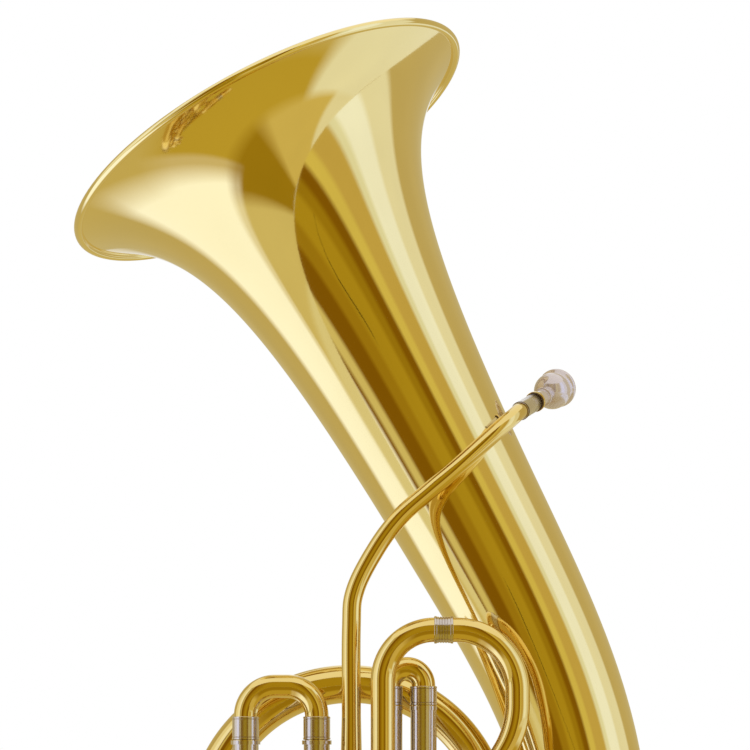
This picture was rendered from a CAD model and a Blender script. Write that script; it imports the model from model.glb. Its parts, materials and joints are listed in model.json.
import json
import math

import bmesh
import bpy
import numpy as np
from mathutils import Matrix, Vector


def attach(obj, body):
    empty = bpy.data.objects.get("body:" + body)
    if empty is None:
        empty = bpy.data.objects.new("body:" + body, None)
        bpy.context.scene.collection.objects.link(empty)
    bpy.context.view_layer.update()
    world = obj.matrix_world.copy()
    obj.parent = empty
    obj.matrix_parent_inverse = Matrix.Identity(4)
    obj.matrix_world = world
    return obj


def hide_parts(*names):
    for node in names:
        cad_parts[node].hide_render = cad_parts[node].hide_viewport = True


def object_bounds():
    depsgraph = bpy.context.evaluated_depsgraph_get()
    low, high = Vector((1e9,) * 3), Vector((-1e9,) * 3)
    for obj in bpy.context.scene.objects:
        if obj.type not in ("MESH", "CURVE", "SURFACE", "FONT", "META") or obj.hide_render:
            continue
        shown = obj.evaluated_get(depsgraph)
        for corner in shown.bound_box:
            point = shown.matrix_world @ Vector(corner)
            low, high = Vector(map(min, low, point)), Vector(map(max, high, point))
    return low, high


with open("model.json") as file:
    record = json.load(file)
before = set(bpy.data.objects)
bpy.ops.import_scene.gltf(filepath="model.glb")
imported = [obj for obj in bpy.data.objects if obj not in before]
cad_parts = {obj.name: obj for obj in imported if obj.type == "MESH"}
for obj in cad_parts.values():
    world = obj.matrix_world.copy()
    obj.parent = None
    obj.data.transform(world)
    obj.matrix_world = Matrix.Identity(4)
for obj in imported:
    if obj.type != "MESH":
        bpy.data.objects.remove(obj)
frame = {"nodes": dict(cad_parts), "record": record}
cad_low, cad_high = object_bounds()
MM = 0.001
scene = bpy.context.scene

# Camera
lens = bpy.data.cameras.new("camera")
lens.lens, lens.sensor_width, lens.clip_end = 226.9, 36, 50
camera = bpy.data.objects.new("camera", lens)
scene.collection.objects.link(camera)
camera.location = Vector((-13, -2590.8, 345.1)) * MM
aim = Vector((-13, 0, 564)) * MM
camera.rotation_euler = (aim - camera.location).to_track_quat("-Z", "Y").to_euler()
scene.camera = camera
scene.view_settings.view_transform = "Standard"


# Materials
def node_material(name):
    m = bpy.data.materials.new(name)
    m.use_nodes = True
    tree = m.node_tree
    shader = tree.nodes["Principled BSDF"]
    coords = tree.nodes.new("ShaderNodeTexCoord")
    return m, tree, shader, coords.outputs["Object"]


def add(tree, kind, **values):
    n = tree.nodes.new(kind)
    for key, value in values.items():
        if key in n.inputs:
            n.inputs[key].default_value = value
        else:
            setattr(n, key, value)
    return n


def noise(tree, where, scale, detail=3.0, roughness=0.5, stretch=None):
    if stretch:
        mapping = add(tree, "ShaderNodeMapping")
        mapping.inputs["Scale"].default_value = stretch
        tree.links.new(where, mapping.inputs["Vector"])
        where = mapping.outputs["Vector"]
    n = add(tree, "ShaderNodeTexNoise", Scale=scale, Detail=detail, Roughness=roughness)
    tree.links.new(where, n.inputs["Vector"])
    return n.outputs["Fac"]


def ramp(tree, fac, low, high, start=0.3, end=0.7):
    """Colour that goes from low to high with a factor."""
    r = add(tree, "ShaderNodeValToRGB")
    for stop, place, colour in zip(r.color_ramp.elements, (start, end), (low, high)):
        stop.position = place
        stop.color = (*colour, 1)
    tree.links.new(fac, r.inputs["Fac"])
    return r.outputs["Color"]


def spread(tree, fac, low, high):
    """A factor from 0 to 1, stretched to run from low to high."""
    m = add(tree, "ShaderNodeMapRange")
    m.inputs["To Min"].default_value = low
    m.inputs["To Max"].default_value = high
    tree.links.new(fac, m.inputs["Value"])
    return m.outputs["Result"]


def bump(tree, shader, height, strength, distance):
    b = add(tree, "ShaderNodeBump", Strength=strength, Distance=distance)
    tree.links.new(height, b.inputs["Height"])
    tree.links.new(b.outputs["Normal"], shader.inputs["Normal"])


coat_rough, scratch_depth = 0.03, 0.00004


def metal(name, low, high, rough, coat=0.0, wave=0.12, stretch=None, grain=400.0, metallic=1.0):
    """Polished metal whose colour, gloss and fine scratches vary over the surface."""
    m, tree, shader, where = node_material(name)
    shader.inputs["Metallic"].default_value = metallic
    shader.inputs["Coat Weight"].default_value = coat
    shader.inputs["Coat Roughness"].default_value = coat_rough
    tint = ramp(tree, noise(tree, where, 9.0, 4.0, 0.55), low, high)
    tree.links.new(tint, shader.inputs["Base Color"])
    smear = noise(tree, where, 26.0, 5.0, 0.6)
    tree.links.new(spread(tree, smear, *rough), shader.inputs["Roughness"])
    bump(tree, shader, noise(tree, where, grain, 2.0, 0.5, stretch), wave, scratch_depth)
    return m


brass = metal("brass", (0.79, 0.58, 0.185), (0.84, 0.65, 0.23), (0.045, 0.10), 0.3)
bell_brass = metal("bell_brass", (0.85, 0.68, 0.28), (0.88, 0.72, 0.31), (0.04, 0.075), 0.3, 0.08)
dark_brass = metal("dark_brass", (0.07, 0.035, 0.012), (0.14, 0.075, 0.03), (0.25, 0.4), 0.0, 0.2)
nickel = metal("nickel", (0.58, 0.51, 0.44), (0.68, 0.61, 0.54), (0.13, 0.22), 0.0, 0.3,
               (1.0, 1.0, 14.0), 160.0)
silver = metal("silver", (0.62, 0.53, 0.50), (0.72, 0.63, 0.60), (0.09, 0.17), 0.5, 0.06,
               metallic=0.5)
steel = metal("steel", (0.50, 0.50, 0.51), (0.58, 0.58, 0.59), (0.18, 0.30), 0.0, 0.3,
              (14.0, 1.0, 1.0), 200.0)


def cork_material():
    m, tree, shader, where = node_material("cork")
    blotch = ramp(tree, noise(tree, where, 700.0, 5.0, 0.7), (0.30, 0.17, 0.08),
                  (0.66, 0.46, 0.27), 0.35, 0.6)
    tree.links.new(blotch, shader.inputs["Base Color"])
    shader.inputs["Roughness"].default_value = 0.85
    bump(tree, shader, noise(tree, where, 900.0, 4.0, 0.7), 0.6, 0.0002)
    return m


cork = cork_material()
finishes = {"brass": brass, "nickel": nickel, "silver": silver, "steel": steel, "cork": cork}
for part in frame["record"]["subparts"]:
    o = frame["nodes"][part["node"]]
    o.data.materials.clear()
    o.data.materials.append(finishes[part["material_slot"]])
    for f in o.data.polygons:
        f.material_index = 0


# Mesh building
def piece(name, verts, faces, material, body, nodes=(), sharp=32.0):
    """Mesh in mm that rides on a body, takes a slot's finish and may replace nodes."""
    mesh = bpy.data.meshes.new(name)
    mesh.from_pydata([tuple(v) for v in np.asarray(verts, float) * MM], [], faces)
    bm = bmesh.new()
    bm.from_mesh(mesh)
    bmesh.ops.remove_doubles(bm, verts=bm.verts, dist=1e-7)
    bmesh.ops.recalc_face_normals(bm, faces=bm.faces)
    bm.to_mesh(mesh)
    bm.free()
    mesh.shade_smooth()
    mesh.set_sharp_from_angle(angle=math.radians(sharp))
    mesh.materials.append(material)
    o = bpy.data.objects.new(name, mesh)
    scene.collection.objects.link(o)
    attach(o, body)
    if nodes:
        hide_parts(*nodes)


def unit(v):
    v = np.asarray(v, float)
    return v / np.linalg.norm(v)


def tangents_of(points):
    last = len(points) - 1
    return [unit(points[min(i + 1, last)] - points[max(i - 1, 0)]) for i in range(last + 1)]


def frames_along(tangents, first):
    """Two directions across each tangent, carried along without twist."""
    side = unit(np.asarray(first, float) - np.dot(first, tangents[0]) * tangents[0])
    out = []
    for t in tangents:
        side = unit(side - np.dot(side, t) * t)
        out.append((side, np.cross(t, side)))
    return out


def bands(count, sides, close=False):
    """Faces between rings of points, and from the last ring to the first if closed."""
    faces = []
    for i in range(count if close else count - 1):
        j = (i + 1) % count
        for k in range(sides):
            n = (k + 1) % sides
            faces.append((i * sides + k, i * sides + n, j * sides + n, j * sides + k))
    return faces


def tube_mesh(points, tangents, radii, wall, sides=64, first=(0, 1, 0)):
    """Hollow tube along points, as one closed shell."""
    angles = np.linspace(0, 2 * math.pi, sides, endpoint=False)
    ring = np.stack([np.cos(angles), np.sin(angles)])
    outer, inner = [], []
    for p, (a, b), r in zip(points, frames_along(tangents, first), radii):
        spokes = np.outer(ring[0], a) + np.outer(ring[1], b)
        outer.append(p + r * spokes)
        inner.append(p + (r - wall) * spokes)
    rings = outer + inner[::-1]
    return np.concatenate(rings), bands(len(rings), sides, close=True)


def lathe_mesh(profile, origin, axis, sides=96):
    """Closed profile of (radius, height) turned round an axis."""
    axis = unit(axis)
    (a, b), = frames_along([axis], (0, 1, 0.01))
    angles = np.linspace(0, 2 * math.pi, sides, endpoint=False)
    spokes = np.outer(np.cos(angles), a) + np.outer(np.sin(angles), b)
    verts = [np.asarray(origin) + h * axis + r * spokes for r, h in profile]
    return np.concatenate(verts), bands(len(profile), sides, close=True)


def wire_mesh(points, r, sides=12):
    """Solid round wire along points."""
    points = np.asarray(points, float)
    t = tangents_of(points)
    angles = np.linspace(0, 2 * math.pi, sides, endpoint=False)
    rings = [p + r * (np.outer(np.cos(angles), a) + np.outer(np.sin(angles), b))
             for p, (a, b) in zip(points, frames_along(t, (1, 0, 0)))]
    faces = bands(len(rings), sides)
    last = (len(rings) - 1) * sides
    faces.append(tuple(range(sides))[::-1])
    faces.append(tuple(last + k for k in range(sides)))
    return np.concatenate(rings), faces


def catmull(points, n):
    """Smooth curve through points, with n steps from one to the next."""
    points = [np.asarray(p, float) for p in points]
    out = []
    last = len(points) - 1
    for i in range(last):
        a, b = points[max(i - 1, 0)], points[i]
        c, d = points[i + 1], points[min(i + 2, last)]
        for k in range(n):
            t = k / n
            out.append(0.5 * (2 * b + (c - a) * t + (2 * a - 5 * b + 4 * c - d) * t * t
                              + (3 * b - a - 3 * c + d) * t ** 3))
    out.append(points[-1])
    return out


bend_step, straight_steps = 3.0, 4     # degrees to a step of a bend, steps to a straight


def route(steps, p, t, u):
    """Points and directions of straight lengths and bends: [length, radius, angle, roll]."""
    p, t, u = (np.asarray(v, float) for v in (p, t, u))
    points, directions = [], []
    for length, radius, angle, roll in steps:
        if length > 0:
            for k in range(straight_steps):
                points.append(p + t * length * k / straight_steps)
                directions.append(t)
            p = p + t * length
        c, s = math.cos(math.radians(roll)), math.sin(math.radians(roll))
        d = c * u + s * np.cross(t, u)
        n = max(1, math.ceil(angle / bend_step)) if angle > 0 else 0
        for k in range(n):
            a = math.radians(angle * k / n)
            points.append(p + radius * ((1 - math.cos(a)) * d + math.sin(a) * t))
            directions.append(math.cos(a) * t + math.sin(a) * d)
        a = math.radians(angle)
        p = p + radius * ((1 - math.cos(a)) * d + math.sin(a) * t)
        u = u + np.dot(u, d) * ((math.cos(a) - 1) * d - math.sin(a) * t)
        t = math.cos(a) * t + math.sin(a) * d
    points.append(p)
    directions.append(t)
    return points, directions


# Measures, in mm
solder = 0.05
sheet = 0.7
tube_r, tube_wall = 6.4, 0.5
bell_r, bead_r, flare_len, throat_d, throat_taper = 122.5, 2.4, 257.0, 77.0, 0.0177
flare_pull, flare_power = 60.0, 1.416
stem_len, stem_power, stem_d = 198.5, 2.155, 62.6
bow_r, bow_big, bow_small, guard_t, guard_gap, clear = 105.0, 25.6, 16.0, 0.9, 0.4, 0.3
bow_z = bow_r + (bow_big + bow_small) / 2 + guard_t + guard_gap
stem_top, top_bow_z, top_bow_r = 299.0, 316.0, 78.4
top_big, top_small = 11.3, 9.5
port_y, front_step, leg = 26.0, 22.5, 9.25
front_y = -port_y - front_step
valve_z, casing_r = 200.0, 16.0
valve_x = {1: 4.0, 2: -35.0, 3: -74.0, 4: 43.0}
port_off = casing_r * math.sqrt(0.5)
port_z = valve_z - port_off
leg_z = valve_z + math.sqrt(casing_r ** 2 - leg ** 2) - 4
front_top = valve_z + casing_r + 4
s_mid = 1.5


def s_radius(shift, angle):
    """Radius of the two bends that move a tube sideways by shift."""
    a = math.radians(angle)
    return (shift - s_mid * math.sin(a)) / (2 * (1 - math.cos(a)))


def s_height(shift, angle):
    """Length that those two bends take up."""
    a = math.radians(angle)
    return 2 * s_radius(shift, angle) * math.sin(a) + s_mid * math.cos(a)


# Bell and stem
lean, tilt = math.radians(27.7), math.radians(11.9)
bend = math.acos(math.cos(lean) * math.cos(tilt))
side_az = math.atan2(math.sin(tilt), -math.sin(lean) * math.cos(tilt))


def bell_dir(a):
    return np.array([math.sin(a) * math.cos(side_az), math.sin(a) * math.sin(side_az),
                     math.cos(a)])


stem_steps = 14
stem_points = [np.array([bow_r, 0.0, stem_top])]
for i in range(stem_steps):
    share = 1 - (i + 0.5) / stem_steps
    stem_points.append(stem_points[-1] + stem_len / stem_steps
                       * bell_dir(bend * (1 - share ** stem_power)))
flare_start, flare_dir = stem_points[-1], bell_dir(bend)


def throat_r(s):
    return throat_d / 2 - throat_taper * s


def flare_r(s):
    return throat_r(s) + (bell_r - throat_r(0)) * (flare_pull / (s + flare_pull)) ** flare_power


slope = throat_taper + (bell_r - throat_d / 2) * flare_power / flare_pull
lip = bead_r / slope
flare_end = flare_r(flare_len)

# the fine bell: an upright cone, the bent stem, then the straight flare
foot_steps, fine, flare_steps, flare_crowd, bell_sides = 12, 96, 120, 1.6, 192
centre = [np.array([bow_r, 0.0, bow_z + (stem_top - bow_z) * k / foot_steps])
          for k in range(foot_steps)]
radii = [bow_big + (stem_d / 2 - bow_big) * k / foot_steps for k in range(foot_steps)]
p = np.array([bow_r, 0.0, stem_top])
for i in range(fine):
    centre.append(p)
    radii.append(stem_d / 2 + (flare_end - stem_d / 2) * i / fine)
    share = 1 - (i + 0.5) / fine
    p = p + stem_len / fine * bell_dir(bend * (1 - share ** stem_power))
shift = flare_start - p
centre = centre[:foot_steps] + [c + shift * (k / fine)
                                for k, c in enumerate(centre[foot_steps:])]
for i in range(flare_steps + 1):
    s = lip + (flare_len - lip) * ((flare_steps - i) / flare_steps) ** flare_crowd
    centre.append(flare_start + flare_dir * (flare_len - s))
    radii.append(flare_r(s))
directions = tangents_of(centre)
directions[foot_steps + fine:] = [flare_dir] * (flare_steps + 1)
v, f = tube_mesh(centre, directions, radii, sheet, bell_sides)
piece("bell", v, f, bell_brass, "root", ["bell_flare", "bell_stem"])

# rolled rim: a bead with a fine groove where the sheet turns in
bead_z = flare_len - lip - sheet / 2
bead_steps, groove_depth, groove_at, groove_width = 40, 0.22, 3.9, 0.16
profile = []
for k in range(bead_steps):
    a = 2 * math.pi * k / bead_steps
    groove = groove_depth * math.exp(-((a - groove_at) / groove_width) ** 2)
    profile.append((bell_r - bead_r + (bead_r - groove) * math.cos(a),
                    bead_z + (bead_r - groove) * math.sin(a)))
v, f = lathe_mesh(profile, flare_start, flare_dir, 256)
piece("rim_bead", v, f, bell_brass, "root", ["bell_rim"], 60)

# Bows and branches
turned = [180 + 180 * k / 120 for k in range(121)]
points = [np.array([bow_r * math.cos(math.radians(a)), 0,
                    bow_z + bow_r * math.sin(math.radians(a))]) for a in turned]
directions = [np.array([-math.sin(math.radians(a)), 0, math.cos(math.radians(a))])
              for a in turned]
v, f = tube_mesh(points, directions,
                 [bow_small + (bow_big - bow_small) * (a - 180) / 180 for a in turned],
                 sheet, 96)
piece("bottom_bow_tube", v, f, brass, "root", ["bottom_bow"])

# bow guard: a plate round the outside of the bow, narrower at its two ends
guard_from, guard_to, guard_half, guard_edge = 212, 326, 62, 0.35
across, guard_rings = 28, 96
guard_verts = []
for i in range(guard_rings + 1):
    a = math.radians(guard_from + (guard_to - guard_from) * i / guard_rings)
    r = bow_small + (bow_big - bow_small) * (math.degrees(a) - 180) / 180
    c = np.array([bow_r * math.cos(a), 0, bow_z + bow_r * math.sin(a)])
    ease = min(1, min(i, guard_rings - i) / guard_rings * 9)
    narrow = guard_half * min(1.0, math.sqrt(max(0.0, 1 - (1 - ease) ** 2)) * 0.16 + 0.84)
    spokes = []
    for k in range(across + 1):
        w = math.radians(-narrow + 2 * narrow * k / across)
        spokes.append(np.array([math.cos(a) * math.cos(w), math.sin(w),
                                math.sin(a) * math.cos(w)]))
    inside = [c + (r + guard_gap) * spoke for spoke in spokes]
    outside = [c + (r + guard_gap + guard_t - (guard_edge if k in (0, across) else 0.0)) * spoke
               for k, spoke in enumerate(spokes)]
    guard_verts.extend(inside + outside[::-1])
size = 2 * (across + 1)
guard_faces = bands(guard_rings + 1, size)
guard_faces.append(tuple(range(size)))
guard_faces.append(tuple(guard_rings * size + k for k in range(size))[::-1])
piece("bow_guard_plate", guard_verts, guard_faces, brass, "root", ["bow_guard"])

shares = [k / 20 for k in range(21)]
v, f = tube_mesh([np.array([-bow_r, 0, bow_z + (top_bow_z - bow_z) * k]) for k in shares],
                 [np.array([0.0, 0, 1])] * len(shares),
                 [bow_small + (top_big - bow_small) * k for k in shares], sheet, 96)
piece("left_branch_tube", v, f, brass, "root", ["left_branch"])

turned = [180 - 180 * k / 100 for k in range(101)]
points = [np.array([-bow_r + top_bow_r * (1 + math.cos(math.radians(a))), 0,
                    top_bow_z + top_bow_r * math.sin(math.radians(a))]) for a in turned]
directions = [np.array([math.sin(math.radians(a)), 0, -math.cos(math.radians(a))])
              for a in turned]
v, f = tube_mesh(points, directions,
                 [top_small + (top_big - top_small) * a / 180 for a in turned], sheet, 80)
piece("top_bow_tube", v, f, brass, "root", ["top_bow"])

inner_top_x = -bow_r + 2 * top_bow_r
diag = math.sqrt(0.5)
port_r = 12
exit_x = valve_x[4] + port_off + port_r * (1 - diag)
exit_front = front_y - 3.5
exit_back = exit_front + 18
exit_z = 42.0
inner = [[exit_x, exit_back, exit_z], [exit_x, exit_back, exit_z + 35],
         [exit_x, exit_back + 2, 98], [60, -22, 120], [64, -6, 142], [66, 4, 165],
         [66.5, 7, 195], [66, 6.5, 225], [62, 4, 255], [55, 1, 282], [inner_top_x, 0, 300],
         [inner_top_x, 0, top_bow_z]]
points = catmull(inner, 12)
n = len(points) - 1
v, f = tube_mesh(points, tangents_of(points),
                 [tube_r + (top_small - tube_r) * k / n for k in range(n + 1)], tube_wall, 64)
piece("inner_branch_tube", v, f, brass, "root", ["inner_branch"])

# Long tubes of the valve section
seat_depth = 0.3


def seat_on_casing(verts, n, top):
    """Shape the lowest end of an upright tube to the valve casing under it."""
    seat = casing_r - seat_depth
    for v in verts:
        if v[2] < top:
            side = min(seat, abs(v[0] - valve_x[n]))
            v[2] = max(leg_z, valve_z + math.sqrt(seat ** 2 - side ** 2))


def plain_tube(name, points, directions, r, first, body, nodes, valve=None):
    """Brass tube of one width, shaped to a valve casing at its lowest end if one is named."""
    v, f = tube_mesh(points, directions, [r] * len(points), tube_wall, 64, first)
    if valve:
        seat_on_casing(v, valve, leg_z + 0.5)
    piece(name, v, f, brass, body, nodes)


step = -port_y - exit_front
exit_turn = 50
top = port_z - port_r * diag
s_top = top - 8
down = s_top - s_height(step, exit_turn) - exit_z
points, directions = route(
    [[0, port_r, 45, 0], [top - s_top, s_radius(step, exit_turn), exit_turn, -90],
     [s_mid, s_radius(step, exit_turn), exit_turn, 90],
     [down, (exit_back - exit_front) / 2, 180, 90]],
    [valve_x[4] + port_off, -port_y, port_z], [diag, 0, -diag], [-diag, 0, -diag])
plain_tube("exit_tube", points, directions, tube_r, (0, 1, 0), "root", ["exit_bow"])

lead_side, lead_z, lead_gap, main_gap, entry_shift, entry_turn = 29.8, 331.4, 18.7, 38.5, 18, 56
lead_x = valve_x[1] - lead_side
main_right = lead_x - lead_gap
main_left = main_right - main_gap
low_x = main_left - entry_shift
turn = (valve_x[3] - port_off - low_x) / (1 + diag)
down = lead_z - s_height(entry_shift, entry_turn) - (port_z + turn * diag)
entry_r = s_radius(entry_shift, entry_turn)
points, directions = route(
    [[0, entry_r, entry_turn, 0], [s_mid, entry_r, entry_turn, 180], [down, turn, 135, 180]],
    [main_left, -port_y, lead_z], [0, 0, -1], [-1, 0, 0])
plain_tube("valve_entry_tube", points, directions, tube_r, (0, 1, 0), "root", ["valve_entry"])

loop_top, loop_right, loop_r, loop_left_r = 422.5, 63.5, 32.5, 27.3
loop_tube, loop_flat, loop_turn = 6.6, 12.4, 53
start_x = valve_x[4] + leg
kick, low_r, side_len = 31, 50, 7
kick_c = 1 - math.cos(math.radians(kick))
kick_r = (loop_right - start_x - s_mid * math.sin(math.radians(kick))) / kick_c - low_r
corner_z = loop_top - loop_r
kick_z = corner_z - side_len - (kick_r + low_r) * math.sin(math.radians(kick)) \
    - s_mid * math.cos(math.radians(kick))
s_start = 250.0
up = kick_z - s_start - s_height(front_step, loop_turn)
loop_s = s_radius(front_step, loop_turn)
points, directions = route(
    [[s_start - leg_z, loop_s, loop_turn, -90], [s_mid, loop_s, loop_turn, 90],
     [up, kick_r, kick, 0], [s_mid, low_r, kick, 180], [side_len, loop_r, 90, 180],
     [loop_flat, loop_left_r, 90, 180], [loop_top - loop_left_r - front_top - solder, 0, 0, 0]],
    [start_x, -port_y, leg_z], [0, 0, 1], [1, 0, 0])
plain_tube("fourth_loop_tube", points, directions, loop_tube, (1, 0, 0), "root",
           ["fourth_valve_loop"], 4)

lead = [[lead_x, -port_y, lead_z], [lead_x, -port_y, lead_z + 45], [lead_x, -port_y, 424],
        [-23.8, -25.5, 444.5], [-12.5, -24, 467], [0.6, -22.5, 484.6], [17, -20.5, 499.4],
        [33, -18.5, 513], [48, -15, 526.8], [56.5, -11.8, 534.8], [61.5, -7.8, 539.3],
        [65.6, -1, 543.3]]
lead_dir = unit([0.33, 0.93, 0.26])
lead_end = np.array(lead[-1]) + 4 * lead_dir
lead_low, lead_mid, lead_small = 14, 5.2, 4.5
points = catmull(lead, lead_low) + [lead_end]
n = len(points) - 1
radii = [tube_r + (lead_mid - tube_r) * k / lead_low if k < lead_low
         else lead_mid + (lead_small - lead_mid) * (k - lead_low) / (n - lead_low)
         for k in range(n + 1)]
v, f = tube_mesh(points, tangents_of(points), radii, tube_wall, 64, (1, 0, 0))
piece("leadpipe_tube", v, f, brass, "root", ["leadpipe"])

points, directions = route([[0, (lead_x - main_right) / 2, 180, 0]], [lead_x, -port_y, lead_z],
                           [0, 0, -1], [-1, 0, 0])
plain_tube("lead_turn_tube", points, directions, tube_r, (0, 1, 0), "root", ["lead_bow"])

# receiver: a nickel tube with a ring at each end
receiver_len, receiver_r, shank_len, shank_r = 30.0, 5.0, 24.0, 3.7
shank_wide = shank_r + shank_len * 0.0225
receiver_at = lead_end + solder * lead_dir
profile = [(shank_r + solder, 0), (receiver_r - 0.2, 0), (receiver_r, 0.2),
           (receiver_r, receiver_len - 0.4), (receiver_r - 0.2, receiver_len),
           (shank_wide + solder, receiver_len), (shank_r + solder, receiver_len - shank_len)]
v, f = lathe_mesh(profile, receiver_at, lead_dir)
piece("receiver_tube", v, f, nickel, "root", ["receiver"])


def collar_ring(name, start, end, height, material):
    """Ring round the receiver, from and to a distance along it."""
    low, high = receiver_r + 0.01, receiver_r + height
    edge = min(0.2, (end - start) / 4)
    outline = [(low, start), (high - edge, start), (high, start + edge), (high, end - edge),
               (high - edge, end), (low, end)]
    v, f = lathe_mesh(outline, receiver_at, lead_dir)
    piece(name, v, f, material, "root")


collar_ring("receiver_groove_1", 0.1, 1.0, 0.22, dark_brass)
collar_ring("receiver_groove_2", 25.6, 27.2, 0.35, dark_brass)
collar_ring("receiver_collar", 27.25, 29.2, 0.7, brass)

# mouthpiece: shank, ring, round cup and rim outside, then cup and bore inside
cup_len, rim_r, bulb_r, lip_r = 66.2, 11.0, 10.3, 1.9
bulb_at = cup_len - 11.2
neck = shank_wide + 0.1
collar = shank_len + 11.6
low_a = math.degrees(math.asin(neck / bulb_r))
profile = [(2.9, 0), (shank_r - 0.15, 0), (shank_r, 0.2), (shank_wide, shank_len),
           (neck, shank_len + 2), (neck, collar - 0.3), (neck + 0.3, collar),
           (neck + 0.85, collar + 0.2), (neck + 1, collar + 0.5), (neck + 1, collar + 1.2),
           (neck + 0.85, collar + 1.5), (neck + 0.3, collar + 1.7), (neck, collar + 2),
           (neck, bulb_at - bulb_r * math.cos(math.radians(low_a)) - 1.6)]
for k in range(41):
    a = math.radians(low_a + (122 - low_a) * k / 40)
    profile.append((bulb_r * math.sin(a), bulb_at - bulb_r * math.cos(a)))
profile += [(rim_r - 2.05, cup_len - 5.2), (rim_r - 1.9, cup_len - 4.6),
            (rim_r - 1.4, cup_len - 3.9)]
for k in range(17):
    a = math.radians(-50 + 200 * k / 16)
    profile.append((rim_r - lip_r + lip_r * math.cos(a), cup_len - lip_r + lip_r * math.sin(a)))
profile += [(rim_r - 3.7, cup_len - 2.2), (rim_r - 4.1, cup_len - 5), (rim_r - 5.2, cup_len - 10),
            (rim_r - 6.6, cup_len - 15), (rim_r - 8, cup_len - 19), (2.3, cup_len - 23),
            (2.5, cup_len - 40)]
v, f = lathe_mesh(profile, lead_end + (receiver_len - shank_len + solder) * lead_dir, lead_dir,
                  128)
piece("mouthpiece_turned", v, f, silver, "mouthpiece", ["mouthpiece"])

# ferrule over the joint in the top of the loop, with turned grooves
r0, r1, h = loop_tube + solder, loop_tube + 0.55, 10.2
profile = [(r0, 0), (r1, 0), (r1 + 0.25, 0.2), (r1 + 0.25, 1.2), (r1 - 0.1, 1.5)]
for k in range(4):
    z = 2.5 + 1.4 * k
    profile += [(r1 - 0.1, z), (r1 - 0.45, z + 0.2), (r1 - 0.45, z + 0.45), (r1 - 0.1, z + 0.65)]
profile += [(r1 - 0.1, h - 1.5), (r1 + 0.25, h - 1.2), (r1 + 0.25, h - 0.2), (r1, h), (r0, h)]
v, f = lathe_mesh(profile, [loop_right - loop_r - loop_flat + 0.2, front_y, loop_top], [1, 0, 0])
piece("loop_ferrule_turned", v, f, nickel, "root", ["loop_ferrule"])


# Tuning slides
def crook(name, node, x, y, mouth, gap, corner, inside, ferrule, down=False):
    """Crook with its two legs in one tube, and its two ferrules."""
    way = -1.0 if down else 1.0
    rise = ferrule + 2 * clear
    points, directions = route(
        [[inside + rise, corner, 90, 0], [gap - 2 * corner, corner, 90, 0],
         [inside + rise, 0, 0, 0]],
        [x, y, mouth - way * inside], [0, 0, way], [1, 0, 0])
    plain_tube(name, points, directions, tube_r, (0, 1, 0), node, [node])
    for k, fx in enumerate((x, x + gap)):
        r0, r1, h = tube_r + solder, tube_r + 0.85, ferrule
        outline = [(r0, 0), (r1 - 0.25, 0), (r1 + 0.15, 0.3), (r1 + 0.15, 1.2), (r1 - 0.25, 1.5),
                   (r1, 1.8), (r1, h - 1.6), (r1 - 0.25, h - 1.4), (r1 + 0.1, h - 1.1),
                   (r1 + 0.1, h - 0.3), (r1 - 0.3, h), (r0, h)]
        v, f = lathe_mesh(outline, [fx, y, mouth + way * clear], [0, 0, way], 72)
        piece(f"{name}_ferrule_{k + 1}", v, f, nickel, node)


crook("main_crook", "main_slide", main_left, -port_y, 363.4, main_gap, 16.0, 30.0, 12.6)
crook("first_crook", "first_slide", valve_x[1] - leg, -port_y, 382.0, 2 * leg, leg, 90, 10.4)
crook("second_crook", "second_slide", valve_x[2] - leg, -port_y, 262.0, 2 * leg, leg, 40, 8.4)
crook("third_crook", "third_slide", valve_x[3] - leg, front_y, 52.0, 2 * leg, leg, 90, 10.4, True)
loop_left = loop_right - loop_flat - loop_r - loop_left_r
gap = valve_x[4] - leg - loop_left
crook("fourth_crook", "fourth_slide", loop_left, front_y, 80.0, gap, gap / 2 - 1, 80, 10.4, True)


# Lever springs
coil_r, wire_d, curls, spring_len = 3.35, 0.9, 5, 8.0
hinge_y, hinge_z = 19.0612, 148.0
barrel_from, barrel_len, curl_steps = 2.3, 12.5, 32
coil_pitch = (spring_len - 2 * wire_d) / curls
coils_v, coils_f = [], []
for n in (1, 2, 3, 4):
    x0 = valve_x[n] + barrel_from + barrel_len + clear
    path = [[wire_d, coil_r, -3.2], [wire_d, coil_r, -2.0], [wire_d, coil_r, -0.9]]
    for i in range(curls * curl_steps + 1):
        a = 2 * math.pi * i / curl_steps
        path.append([wire_d + coil_pitch * i / curl_steps,
                     coil_r * math.cos(a), coil_r * math.sin(a)])
    end = wire_d + curls * coil_pitch
    path += [[end, coil_r, 0.9], [end, coil_r, 2.0], [end, coil_r, 3.2]]
    v, f = wire_mesh(np.array(path) + [x0, hinge_y, hinge_z], wire_d / 2)
    base = len(coils_v)
    coils_v.extend(v)
    coils_f.extend(tuple(base + k for k in face) for face in f)
piece("lever_coils", coils_v, coils_f, steel, "root", ["lever_springs"])


# Floor, light and studio
floor_size, floor_low = 9.0, 0.0002
floor_colour, floor_shade = (0.86, 0.86, 0.85), 0.985
half = floor_size / 2
mesh = bpy.data.meshes.new("floor")
mesh.from_pydata([(-half, -half, 0), (half, -half, 0), (half, half, 0), (-half, half, 0)], [],
                 [(0, 1, 2, 3)])
floor = bpy.data.objects.new("floor", mesh)
floor.location = (0, 0, cad_low[2] - floor_low)
scene.collection.objects.link(floor)
m, tree, shader, coords = node_material("floor_paint")
tint = ramp(tree, noise(tree, coords, 1.2), tuple(c * floor_shade for c in floor_colour),
            floor_colour)
tree.links.new(tint, shader.inputs["Base Color"])
shader.inputs["Roughness"].default_value = 0.8
shader.inputs["Specular IOR Level"].default_value = 0.0
mesh.materials.append(m)


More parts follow.
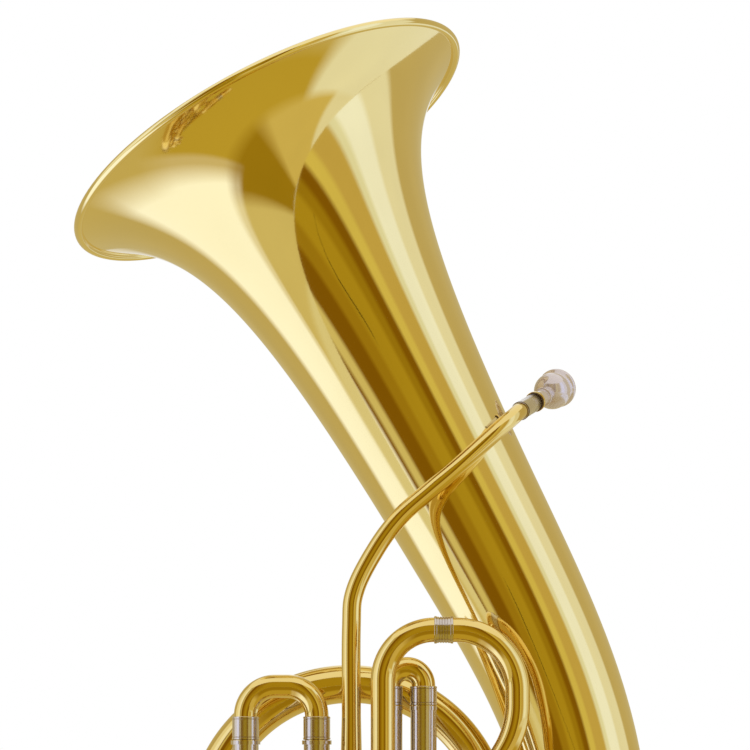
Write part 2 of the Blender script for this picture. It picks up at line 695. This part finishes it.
def glow(name, verts, faces, tones):
    """Stage mesh with a tone at each point, seen only in the metal."""
    mesh = bpy.data.meshes.new(name)
    mesh.from_pydata([tuple(v) for v in verts], [], faces)
    paint = mesh.color_attributes.new("tone", "FLOAT_COLOR", "POINT")
    for point, tone in zip(paint.data, tones):
        point.color = (*tone, 1)
    o = bpy.data.objects.new(name, mesh)
    scene.collection.objects.link(o)
    m = bpy.data.materials.new(name + "_card")
    m.use_nodes = True
    tree = m.node_tree
    tree.nodes.clear()
    out = tree.nodes.new("ShaderNodeOutputMaterial")
    light = tree.nodes.new("ShaderNodeEmission")
    coords = tree.nodes.new("ShaderNodeTexCoord")
    tone = tree.nodes.new("ShaderNodeVertexColor")
    tone.layer_name = "tone"
    shade = tree.nodes.new("ShaderNodeVectorMath")
    shade.operation = "SCALE"
    tree.links.new(tone.outputs["Color"], shade.inputs[0])
    tree.links.new(spread(tree, noise(tree, coords.outputs["Object"], 0.9, 1.0), 0.88, 0.98),
                   shade.inputs["Scale"])
    tree.links.new(shade.outputs["Vector"], light.inputs["Color"])
    tree.links.new(light.outputs["Emission"], out.inputs["Surface"])
    mesh.materials.append(m)
    o.visible_camera = False
    o.visible_shadow = False
    o.visible_diffuse = False


# cards round the studio, by azimuth from the camera's side, with soft edges
dark, back, white = (0.25, 0.125, 0.003), (0.62, 0.53, 0.29), (1.0, 1.0, 1.0)
cards = [(-172, -108, back), (-80, -57, (1.14, 1.22, 1.55)), (-57, -52, dark),
         (-52, -42, (0.75, 0.68, 0.36)), (-42, -24, dark), (-24, -12, (0.39, 0.25, 0.015)),
         (-12, 4, (0.48, 0.34, 0.025)), (4, 13, (0.37, 0.24, 0.012)), (13, 23, dark),
         (23, 34, (0.76, 0.66, 0.21)), (34, 54, (0.64, 0.50, 0.17)),
         (54, 62, (0.90, 0.98, 1.05)), (62, 84, (1.06, 1.2, 1.65)),
         (84, 108, (0.93, 0.98, 1.05)), (108, 172, back)]
card_edge, wall_r, wall_low, wall_high = 2.0, 3.1, -1.6, 3.4
wall_end, wall_step = 176, 0.5
strip_r, strip_half = 3.0, 0.35


def card_tone(az):
    """Mean tone of the cards near an azimuth, white where there is none."""
    near = np.linspace(az - card_edge, az + card_edge, 13)
    return np.mean([next((tone for a, b, tone in cards if a <= n < b), white) for n in near],
                   axis=0)


verts, faces, tones = [], [], []
for k, az in enumerate(np.arange(-wall_end, wall_end + wall_step, wall_step)):
    x, y = wall_r * math.sin(math.radians(az)), -wall_r * math.cos(math.radians(az))
    verts += [(x, y, wall_low), (x, y, wall_high)]
    tones += [card_tone(az)] * 2
    if k:
        faces.append((2 * k - 2, 2 * k, 2 * k + 1, 2 * k - 1))
glow("studio_wall", verts, faces, tones)

# thin dark strip in the studio that the bell mirrors
verts, faces = [], []
strip = [(-9, 1.26), (-9.4, 1.17), (-10.3, 1.05), (-10.6, 0.9), (-8.7, 0.76), (-3.3, 0.64),
         (4, 0.56)]
for k, (az, z) in enumerate(strip):
    for side in (-strip_half, strip_half):
        a = math.radians(az + side)
        verts.append((strip_r * math.sin(a), -strip_r * math.cos(a), z))
    if k:
        faces.append((2 * k - 2, 2 * k - 1, 2 * k + 1, 2 * k))
glow("thin_strip", verts, faces, [(0.02, 0.012, 0.004)] * len(verts))

# cards on the floor: x and y from and to, and the tone
floor_cards = [(-0.5, 0.3, -3.0, -0.55, (0.38, 0.25, 0.015)),
               (-0.25, 0.95, -0.55, 0.05, (0.58, 0.44, 0.07)),
               (0.3, 1.7, -3.0, -0.55, (0.72, 0.60, 0.24)),
               (1.7, 3.0, -3.0, -0.55, (0.90, 0.92, 0.90)),
               (0.95, 3.0, -0.55, 3.0, (0.94, 1.0, 1.1)),
               (-1.9, -0.5, -3.0, -0.6, (0.74, 0.66, 0.36)),
               (-3.0, -1.9, -3.0, 0.5, (0.84, 0.82, 0.64)),
               (-1.9, -0.25, -0.6, 0.5, (1.25, 1.38, 1.9)),
               (-0.3, 0.95, 0.05, 3.0, (0.66, 0.56, 0.26)),
               (-3.0, -0.3, 0.5, 3.0, (0.62, 0.53, 0.28))]
floor_edge, floor_half, floor_cells, glow_lift = 0.09, 3.0, 150, 0.0004
inner_half = floor_half - 0.01
line = np.linspace(-floor_half, floor_half, floor_cells + 1)
xs, ys = np.meshgrid(line, line, indexing="ij")
total = np.zeros(xs.shape + (3,))
offsets = np.linspace(-floor_edge, floor_edge, 5)
for dx in offsets:
    for dy in offsets:
        layer = np.ones(total.shape)
        x = np.clip(xs + dx, -inner_half, inner_half)
        y = np.clip(ys + dy, -inner_half, inner_half)
        for x0, x1, y0, y1, tone in floor_cards:
            layer[(x >= x0) & (x < x1) & (y >= y0) & (y < y1)] = tone
        total += layer / len(offsets) ** 2
row = floor_cells + 1
verts = [(x, y, cad_low[2] + glow_lift) for x, y in zip(xs.ravel(), ys.ravel())]
faces = [(i * row + j, (i + 1) * row + j, (i + 1) * row + j + 1, i * row + j + 1)
         for i in range(floor_cells) for j in range(floor_cells)]
glow("studio_floor_glow", verts, faces, total.reshape(-1, 3).tolist())


def softbox(name, where, target, size, power):
    """Soft lamp that the metal doesn't mirror."""
    lamp = bpy.data.lights.new(name, "AREA")
    lamp.shape = "RECTANGLE"
    lamp.size, lamp.size_y = size
    lamp.energy = power
    o = bpy.data.objects.new(name, lamp)
    o.location = where
    o.rotation_euler = (Vector(target) - Vector(where)).to_track_quat("-Z", "Y").to_euler()
    scene.collection.objects.link(o)
    o.visible_glossy = False


softbox("soft_left", (-2.6, -0.9, 1.2), (0, 0, 0.45), (1.6, 2.2), 15)
softbox("soft_right", (2.7, -0.3, 1.6), (0, 0, 0.5), (1.4, 2.2), 10)
softbox("soft_top", (0.2, 0.4, 3.0), (0, 0, 0.4), (2.2, 1.6), 12)

# white world to the camera and in the metal, a little dimmer as light
world_light, world_seen = 0.7, 1.0
world = bpy.data.worlds.new("studio")
scene.world = world
world.use_nodes = True
tree = world.node_tree
background = tree.nodes["Background"]
path = tree.nodes.new("ShaderNodeLightPath")
seen = path.outputs["Is Camera Ray"]
for kind in ("Is Glossy Ray", "Is Transmission Ray"):
    either = add(tree, "ShaderNodeMath", operation="MAXIMUM")
    tree.links.new(seen, either.inputs[0])
    tree.links.new(path.outputs[kind], either.inputs[1])
    seen = either.outputs[0]
background.inputs["Color"].default_value = (1, 1, 1, 1)
tree.links.new(spread(tree, seen, world_light, world_seen), background.inputs["Strength"])
